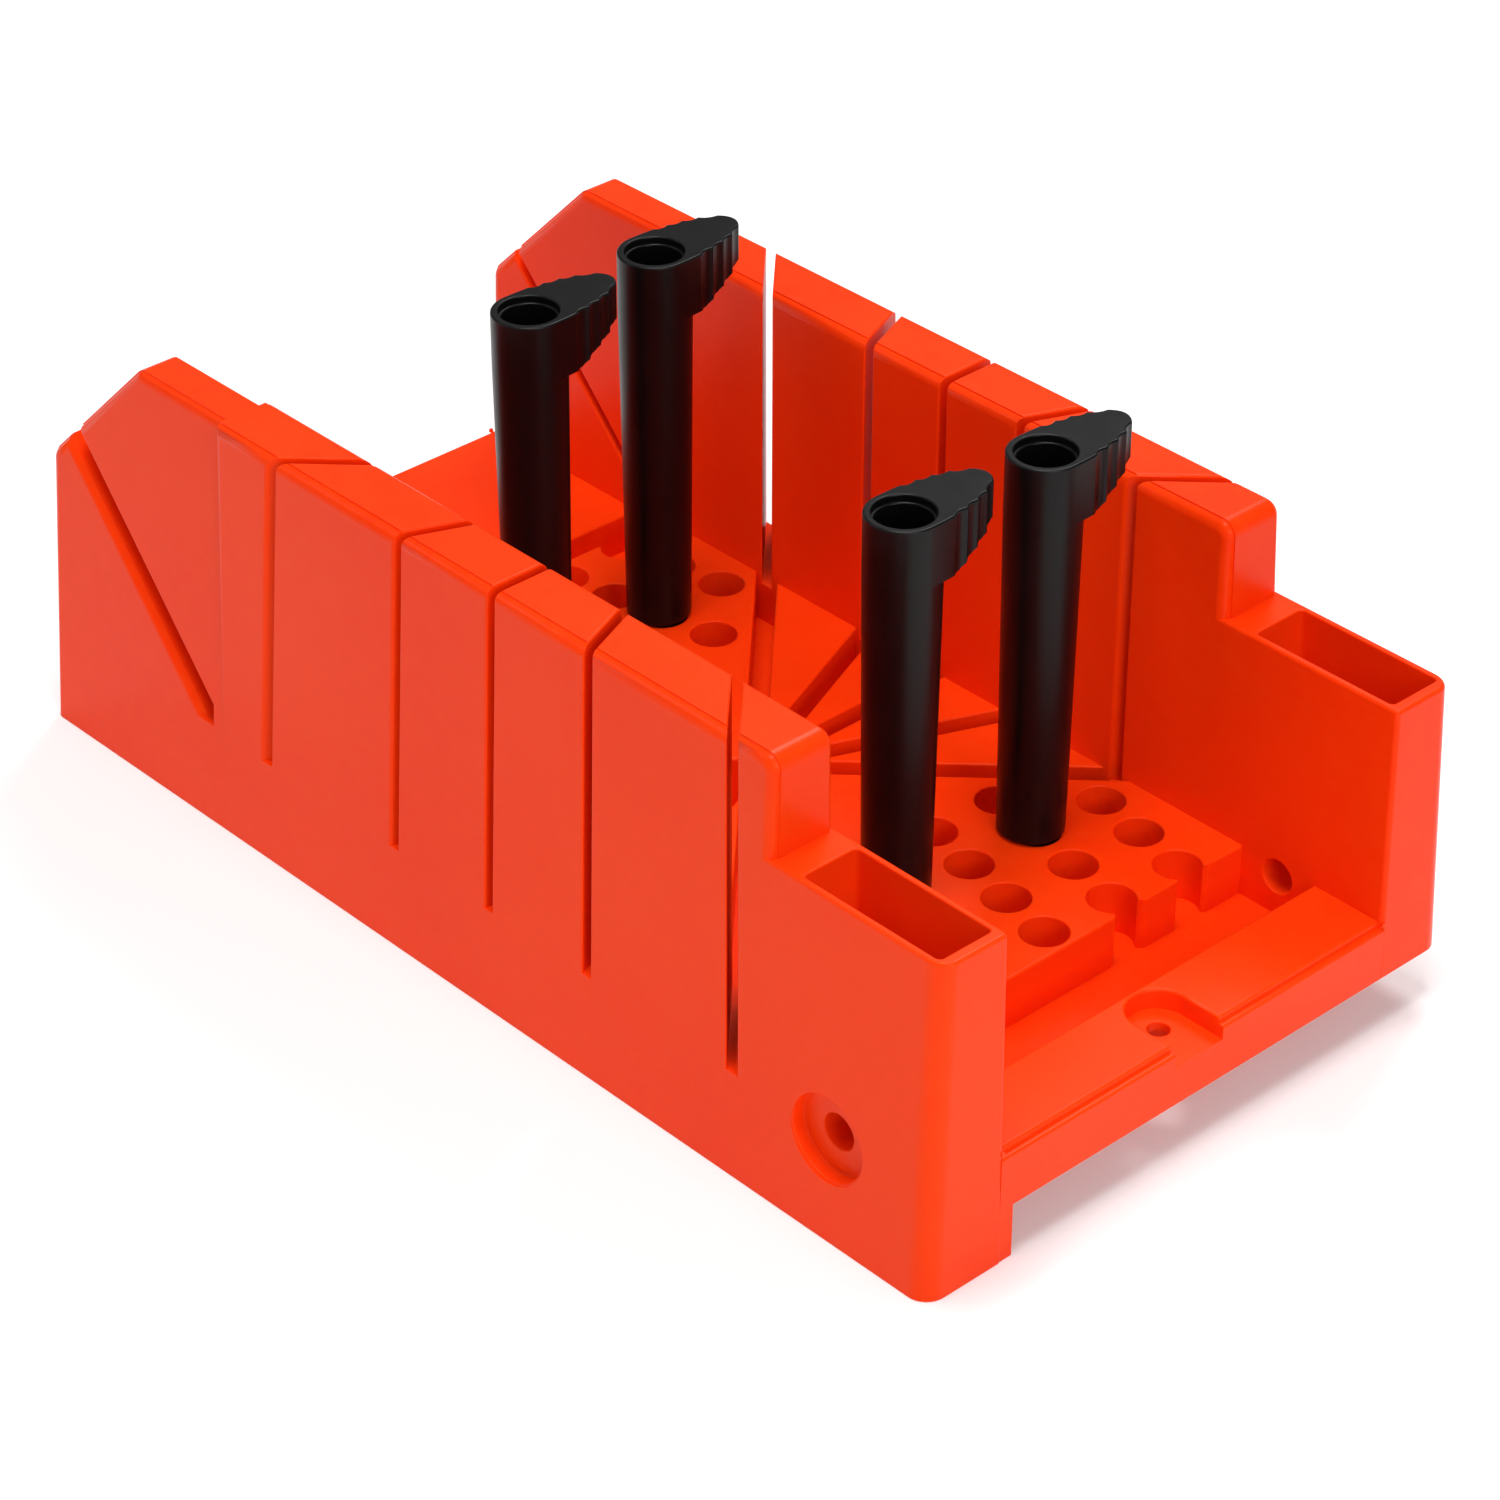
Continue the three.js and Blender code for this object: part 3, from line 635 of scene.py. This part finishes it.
def deck():
    """The raised deck between the fences, hollow below, with its grooves and peg holes."""
    reach = HALF_CHANNEL + PAST
    block = box(-DECK_HALF_LENGTH, DECK_HALF_LENGTH, -reach, reach, 0, DECK_TOP)
    hollow_end = DECK_HALF_LENGTH - WALL
    hollow = box(-hollow_end, hollow_end, -HALF_CHANNEL, HALF_CHANNEL, -PAST, DECK_TOP - WALL)
    walls = [cut_slab(a, GROOVE_WIDTH + 2 * WALL, -2 * PAST, DECK_TOP) for a in CUT_ANGLES]
    tubes = []
    for x, y, is_open in hole_places():
        radius = HOLE_RADIUS + HOLE_WALL
        tubes.append(prism(circle(x, y, radius), -2 * PAST, DECK_TOP, upright))
        if is_open:
            half = OPEN_WIDTH / 2 + HOLE_WALL
            tubes.append(box(x, DECK_HALF_LENGTH + PAST, y - half, y + half, -2 * PAST, DECK_TOP))
    tubes += [copy_of(tube, (-1, 1, 1)) for tube in tubes]
    cut(hollow, walls + tubes)
    long = 1.6 * DECK_HALF_LENGTH
    strip = rectangle(-GROOVE_WIDTH / 2, GROOVE_WIDTH / 2, -long, long)
    grooves = [plan_cutter(turned(strip, -a), FLOOR, DECK_TOP, DECK_ROUNDING) for a in CUT_ANGLES]
    holes = hole_cutters()
    holes += [copy_of(hole, (-1, 1, 1)) for hole in holes]
    edges = []
    for side in (-1, 1):
        ends = [Vector((side * DECK_HALF_LENGTH, y, DECK_TOP)) for y in (-reach, reach)]
        edges.append(edge_round(*ends, side * X, Z, DECK_ROUNDING))
    return cut(block, grooves + holes + edges + [hollow])


def end_land(start, end, top, ribs):
    """A raised land across an end of the channel, with a notch and a screw hole. Made at the near end."""
    reach = HALF_CHANNEL + PAST
    centre = end - NOTCH_REACH
    floor = top - NOTCH_DEPTH

    def notch_outline(radius, stop):
        turns = [math.pi / 2 + math.pi * i / 24 for i in range(25)]
        arc = [Vector((centre + radius * math.cos(a), radius * math.sin(a))) for a in turns]
        return arc + [Vector((stop, -radius)), Vector((stop, radius))]

    land = box(start, end, -reach, reach, 0, top)
    hollow = box(start + WALL, end - WALL, -HALF_CHANNEL, HALF_CHANNEL, -PAST, top - WALL)
    cup = prism(notch_outline(NOTCH_RADIUS + WALL, end + PAST), -2 * PAST, top, upright)
    rib_solids = [box(start, end, y - WALL / 2, y + WALL / 2, -2 * PAST, top) for y in ribs]
    cut(hollow, [cup] + rib_solids)
    under_pad = prism(notch_outline(NOTCH_RADIUS, end - WALL), -PAST, floor - WALL, upright)
    step = end - LEDGE_WIDTH
    ledge = box(step, end + PAST, -HALF_CHANNEL, HALF_CHANNEL, top - LEDGE_DROP, top + PAST)
    notch = plan_cutter(notch_outline(NOTCH_RADIUS, end + PAST), floor, top, DECK_ROUNDING)
    screw = plan_cutter(circle(centre, 0, SCREW_RADIUS), -PAST, floor, SCREW_ROUNDING)
    edges = [
        edge_round(Vector((x, -reach, z)), Vector((x, reach, z)), side, Z, DECK_ROUNDING)
        for x, z, side in ((step, top, X), (start, top, -X), (end, top - LEDGE_DROP, X))
    ]
    return cut(land, [hollow, under_pad, ledge] + edges + [notch, screw])


def floor_plate():
    """The thin floor between the deck and the lands at the two ends."""
    reach = HALF_CHANNEL + PAST
    plate = box(FAR_END + WALL, NEAR_END - WALL, -reach, reach, 0, FLOOR)
    deck_end = DECK_HALF_LENGTH - WALL
    lands = [
        (RAIL_START + WALL, NEAR_END),
        (FAR_END, PLATFORM_END - WALL),
        (-deck_end, deck_end),
    ]
    return cut(plate, [box(a, b, -HALF_CHANNEL, HALF_CHANNEL, -PAST, FLOOR + PAST) for a, b in lands])


def moulding():
    """The whole moulding. The back fence is the front one mirrored, without the hook."""
    front = front_fence()
    back = copy_of(front, (1, -1, 1))
    cut(back, [box(FAR_END * 2, NEAR_END * 2, 0, 2 * HALF_BASE, -3 * HOOK_DROP, 0)])
    rail = end_land(RAIL_START, NEAR_END, DECK_TOP, RAIL_RIBS)
    platform = end_land(-PLATFORM_END, -FAR_END, PLATFORM_TOP, PLATFORM_RIBS)
    far_platform = copy_of(platform, (-1, 1, 1))
    bpy.data.objects.remove(platform)
    return join(deck(), [floor_plate(), rail, far_platform, front, back])


# ---- Pegs ----


def lever_half_width(y):
    """Half the width of the lever's smooth outline at a distance from the shaft's axis."""
    return PEG_HEAD_RADIUS * math.sqrt(max(0.0, 1 - (y / LEVER_REACH) ** LEVER_BLUNTNESS))


def head_outline():
    """The peg's head in plan: round on one side, with a pointed lever with fluted sides on the other."""
    side = []
    for step in range(LEVER_STEPS + 1):
        share = step / LEVER_STEPS
        y = LEVER_REACH * math.sin(share * math.pi / 2)
        depth = 0
        if FLUTES_START < y < FLUTES_END:
            phase = (y - FLUTES_START) / (FLUTES_END - FLUTES_START) * FLUTES
            depth = FLUTE_DEPTH * math.sin(math.pi * (phase % 1)) ** 0.8
        side.append((lever_half_width(y) - depth, y - FLUTE_LEAN * depth))
    turns = [math.pi * i / 40 for i in range(1, 40)]
    round_side = [Vector((-PEG_HEAD_RADIUS * math.cos(a), -PEG_HEAD_RADIUS * math.sin(a))) for a in turns]
    right = [Vector((x, y)) for x, y in side]
    left = [Vector((-x, y)) for x, y in reversed(side[:-1])]
    return right + left + round_side


def lever_underside():
    """The room below the lever, whose underside rises to the tip and is rippled by the flutes."""
    root_low = PEG_HEIGHT - LEVER_ROOT_DEPTH
    rise = LEVER_ROOT_DEPTH - LEVER_TIP_DEPTH
    start = LEVER_UNDERSIDE_START
    tip = LEVER_REACH + PAST
    slope = []
    for step in range(LEVER_UNDERSIDE_STEPS + 1):
        share = step / LEVER_UNDERSIDE_STEPS
        ripple = LEVER_UNDERSIDE_RIPPLE * abs(math.sin(math.pi * share * FLUTES)) * min(1, 4 * share)
        slope.append(Vector((start + (tip - start) * share, root_low + rise * share**0.8 + ripple)))
    under = [Vector((start, root_low - PAST)), Vector((tip, root_low - PAST))] + list(reversed(slope))
    half = 2 * PEG_HEAD_RADIUS
    return prism(under, -half, half, lambda u, v, w: Vector((w, u, v)))


def peg_bore():
    """The peg's bore, with a wider stepped mouth."""
    step = PEG_HEIGHT - PEG_MOUTH_DEPTH
    rim = PEG_HEIGHT - PEG_MOUTH_ROUNDING
    profile = [
        (0, PEG_BORE_FLOOR),
        (PEG_BORE_RADIUS, PEG_BORE_FLOOR),
        (PEG_BORE_RADIUS, step - PEG_MOUTH_CHAMFER),
        (PEG_BORE_RADIUS + PEG_MOUTH_CHAMFER, step),
        (PEG_MOUTH_RADIUS, step),
    ]
    profile += [(PEG_MOUTH_RADIUS + shift, rim + rise) for shift, rise in quarter(PEG_MOUTH_ROUNDING)]
    profile += [(PEG_MOUTH_RADIUS + PEG_MOUTH_ROUNDING, PEG_HEIGHT + PAST), (0, PEG_HEIGHT + PAST)]
    return lathe(profile, upright, 96)


def peg():
    """The shaft and lever of a peg, standing on its foot, with the lever towards +Y."""
    root_low = PEG_HEIGHT - LEVER_ROOT_DEPTH
    foot_round = reversed(quarter(PEG_FOOT_ROUND, 6))
    profile = [(0, 0)] + [(PEG_FOOT_RADIUS - shift, PEG_FOOT_ROUND - rise) for shift, rise in foot_round]
    neck = PEG_HEAD_RADIUS - NECK_GAP
    profile += [(neck, root_low), (neck, root_low + NECK_OVERLAP), (0, root_low + NECK_OVERLAP)]
    shaft = lathe(profile, upright, 96)
    head = prism(head_outline(), root_low, PEG_HEIGHT, upright, 0, LEVER_ROUNDING)
    cut(head, [lever_underside()])
    join(shaft, [head])
    return cut(shaft, [peg_bore()])


def spigot():
    """The off-centre pin below a peg, from its top face down, with a softened tip."""
    low = -SPIGOT_LENGTH
    chamfer = SPIGOT_CHAMFER
    profile = [(0, low), (SPIGOT_RADIUS - chamfer, low), (SPIGOT_RADIUS - 0.3 * chamfer, low + 0.7 * chamfer)]
    profile += [(SPIGOT_RADIUS, low + 1.3 * chamfer), (SPIGOT_RADIUS, 0), (0, 0)]
    return lathe(profile, upright, 64)


def finish_mesh(obj, name, sharp_degrees=50):
    """Scales a shape to metres, smooths it across its small roundings and keeps its flat faces flat."""
    obj.name = name
    obj.data.name = name
    obj.data.transform(Matrix.Diagonal((MM, MM, MM, 1)))
    obj.data.polygons.foreach_set("use_smooth", [True] * len(obj.data.polygons))
    obj.data.set_sharp_from_angle(angle=math.radians(sharp_degrees))
    weighted = obj.modifiers.new("flat faces", "WEIGHTED_NORMAL")
    weighted.keep_sharp = True
    weighted.weight = 100
    weighted.mode = "FACE_AREA"
    graph = bpy.context.evaluated_depsgraph_get()
    mesh = bpy.data.meshes.new_from_object(obj.evaluated_get(graph))
    obj.modifiers.clear()
    obj.data = mesh
    return obj


# ---- Materials ----


def new_material(name):
    material = bpy.data.materials.new(name)
    material.use_nodes = True
    tree = material.node_tree
    shader = tree.nodes["Principled BSDF"]
    return material, tree, shader


def noise(tree, place, scale, detail=3.0, roughness=0.5, stretch=None):
    source = place.outputs["Object"]
    if stretch:
        mapping = tree.nodes.new("ShaderNodeMapping")
        mapping.inputs["Scale"].default_value = stretch
        tree.links.new(source, mapping.inputs["Vector"])
        source = mapping.outputs["Vector"]
    node = tree.nodes.new("ShaderNodeTexNoise")
    node.inputs["Scale"].default_value = scale
    node.inputs["Detail"].default_value = detail
    node.inputs["Roughness"].default_value = roughness
    tree.links.new(source, node.inputs["Vector"])
    return node.outputs["Fac"]


def ramp(tree, value, low, high, from_value, to_value):
    node = tree.nodes.new("ShaderNodeMapRange")
    node.inputs["From Min"].default_value = low
    node.inputs["From Max"].default_value = high
    node.inputs["To Min"].default_value = from_value
    node.inputs["To Max"].default_value = to_value
    tree.links.new(value, node.inputs["Value"])
    return node.outputs["Result"]


def mix_colour(tree, factor, first, second):
    node = tree.nodes.new("ShaderNodeMix")
    node.data_type = "RGBA"
    tree.links.new(factor, node.inputs["Factor"])
    for socket, value in ((node.inputs[6], first), (node.inputs[7], second)):
        if isinstance(value, tuple):
            socket.default_value = (*value, 1)
        else:
            tree.links.new(value, socket)
    return node.outputs[2]


def bump(tree, height, distance, strength, under=None):
    node = tree.nodes.new("ShaderNodeBump")
    node.inputs["Distance"].default_value = distance
    node.inputs["Strength"].default_value = strength
    tree.links.new(height, node.inputs["Height"])
    if under:
        tree.links.new(under, node.inputs["Normal"])
    return node.outputs["Normal"]


def orange_plastic():
    """Moulded ABS: strong orange with faint flow clouds, a satin grain and a few rubbed marks.

    The roughness stays above 0.28, because finer gloss leaves lines in a denoised picture.
    """
    material, tree, shader = new_material("orange_plastic")
    place = tree.nodes.new("ShaderNodeTexCoord")
    clouds = noise(tree, place, 9, 2, 0.45)
    mottle = noise(tree, place, 160, 4, 0.6)
    grain = noise(tree, place, 2600, 2, 0.6)
    waves = noise(tree, place, 14, 1, 0.4)
    rubs = noise(tree, place, 22, 4, 0.6, (1.0, 1.0, 4.0))
    deep, light = (0.91, 0.036, 0.0012), (0.95, 0.048, 0.0025)
    base = mix_colour(tree, ramp(tree, clouds, 0.35, 0.65, 0, 1), deep, light)
    speck = mix_colour(tree, ramp(tree, mottle, 0.3, 0.7, 0, 0.35), base, (0.96, 0.058, 0.004))
    worn = mix_colour(tree, ramp(tree, rubs, 0.55, 0.8, 0, 0.08), speck, (0.96, 0.09, 0.015))
    tree.links.new(worn, shader.inputs["Base Color"])
    gloss = ramp(tree, clouds, 0.25, 0.75, 0.285, 0.335)
    tree.links.new(gloss, shader.inputs["Roughness"])
    wavy = bump(tree, waves, 0.0002, 0.5)
    tree.links.new(bump(tree, grain, 0.00003, 0.5, wavy), shader.inputs["Normal"])
    shader.inputs["IOR"].default_value = 1.5
    shader.inputs["Specular IOR Level"].default_value = 0.15
    shader.inputs["Specular Tint"].default_value = (1, 0.62, 0.42, 1)
    shader.inputs["Subsurface Weight"].default_value = 0.2
    shader.inputs["Subsurface Radius"].default_value = (1.0, 0.12, 0.03)
    shader.inputs["Subsurface Scale"].default_value = 0.003
    return material


def black_plastic():
    """Moulded nylon: near black with a fine grain, handling sheen and faint grey scuffs round the shaft."""
    material, tree, shader = new_material("black_plastic")
    place = tree.nodes.new("ShaderNodeTexCoord")
    clouds = noise(tree, place, 40, 3, 0.5)
    grain = noise(tree, place, 3200, 3, 0.65)
    rings = noise(tree, place, 60, 4, 0.7, (1.0, 1.0, 9.0))
    deep, light = (0.0022, 0.0020, 0.0021), (0.0040, 0.0037, 0.0038)
    base = mix_colour(tree, ramp(tree, clouds, 0.3, 0.7, 0, 1), deep, light)
    scuffed = mix_colour(tree, ramp(tree, rings, 0.62, 0.8, 0, 0.4), base, (0.016, 0.015, 0.015))
    tree.links.new(scuffed, shader.inputs["Base Color"])
    tree.links.new(ramp(tree, clouds, 0.3, 0.7, 0.28, 0.36), shader.inputs["Roughness"])
    tree.links.new(bump(tree, grain, 0.00004, 0.6), shader.inputs["Normal"])
    shader.inputs["IOR"].default_value = 1.5
    shader.inputs["Specular IOR Level"].default_value = 0.2
    return material


def floor_paint():
    """The pale studio floor, with the faintest unevenness."""
    material, tree, shader = new_material("studio_floor")
    place = tree.nodes.new("ShaderNodeTexCoord")
    clouds = noise(tree, place, 3, 2, 0.5)
    tint = mix_colour(tree, clouds, (0.88, 0.88, 0.88), (0.91, 0.91, 0.91))
    tree.links.new(tint, shader.inputs["Base Color"])
    shader.inputs["Roughness"].default_value = 0.8
    shader.inputs["Emission Color"].default_value = (1, 1, 1, 1)
    shader.inputs["Emission Strength"].default_value = 0.12
    return material


def dress(obj, material):
    obj.data.materials.clear()
    obj.data.materials.append(material)


# ---- Pieces ----

orange = orange_plastic()
black = black_plastic()

box_piece = finish_mesh(moulding(), "mitre_box_moulding")
dress(box_piece, orange)
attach(box_piece, "box")
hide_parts("mitre_box")

peg_mesh = finish_mesh(peg(), "peg_shape").data
spigot_mesh = finish_mesh(spigot(), "spigot_shape").data
for shape in ("peg_shape", "spigot_shape"):
    bpy.data.objects.remove(bpy.data.objects[shape])
for mesh in (peg_mesh, spigot_mesh):
    mesh.materials.clear()
    mesh.materials.append(black)

for number in (1, 2, 3, 4):
    pin_node = f"cam_peg_{number}_spigot"
    pin_low, pin_high = (Vector(corner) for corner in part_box(pin_node))
    pin = bpy.data.objects.new(f"peg_{number}_spigot", spigot_mesh.copy())
    middle = (pin_low + pin_high) / 2
    pin.location = (middle.x, middle.y, pin_high.z)
    peg_node = f"cam_peg_{number}"
    peg_low, peg_high = (Vector(corner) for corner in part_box(peg_node))
    shaft = bpy.data.objects.new(f"peg_{number}_shaft", peg_mesh.copy())
    shaft.location = ((peg_low.x + peg_high.x) / 2, peg_low.y + PEG_HEAD_RADIUS * MM, peg_low.z)
    for piece, body, node in ((pin, f"peg_{number}_pin", pin_node), (shaft, f"peg_{number}", peg_node)):
        bpy.context.scene.collection.objects.link(piece)
        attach(piece, body)
        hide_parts(node)

# ---- Stage, lights and camera ----

floor_top = -HOOK_DROP - STUDIO_FLOOR_GAP
floor_low = floor_top - STUDIO_FLOOR_THICKNESS
floor = box(-STUDIO_REACH, STUDIO_REACH, -STUDIO_REACH, STUDIO_REACH, floor_low, floor_top)
floor.name = "studio_floor"
floor.data.transform(Matrix.Diagonal((MM, MM, MM, 1)))
dress(floor, floor_paint())


def soft_light(name, place, target, size, power):
    data = bpy.data.lights.new(name, "AREA")
    data.size = size
    data.energy = power
    light = bpy.data.objects.new(name, data)
    light.location = place
    aim = Vector(target) - Vector(place)
    light.rotation_euler = aim.to_track_quat("-Z", "Y").to_euler()
    bpy.context.scene.collection.objects.link(light)


soft_light("key", (0.15, -0.25, 1.9), (0, 0, 0.03), 0.7, 22)
soft_light("left", (-1.1, -1.05, 1.15), (0, 0, 0.05), 0.4, 2.5)
soft_light("right", (1.5, -0.4, 0.8), (0, 0, 0.05), 0.7, 10.5)
soft_light("back", (-0.5, 1.0, 1.6), (0, 0, 0.05), 0.6, 14)

world = bpy.data.worlds.new("studio")
world.use_nodes = True
world.node_tree.nodes["Background"].inputs["Color"].default_value = (1, 1, 1, 1)
world.node_tree.nodes["Background"].inputs["Strength"].default_value = 0.25
bpy.context.scene.world = world
bpy.context.scene.view_settings.view_transform = "Standard"

camera_data = bpy.data.cameras.new("camera")
camera_data.lens = LENS
camera_data.sensor_width = 36
camera_data.clip_end = 20
camera = bpy.data.objects.new("camera", camera_data)
back = Vector(CAMERA_BACK).normalized()
right = Vector(CAMERA_RIGHT).normalized()
up = back.cross(right)
facing = Matrix((right, up, back)).transposed().to_4x4()
camera.matrix_world = Matrix.Translation(Vector(CAMERA_PLACE) * MM) @ facing
bpy.context.scene.collection.objects.link(camera)
bpy.context.scene.camera = camera
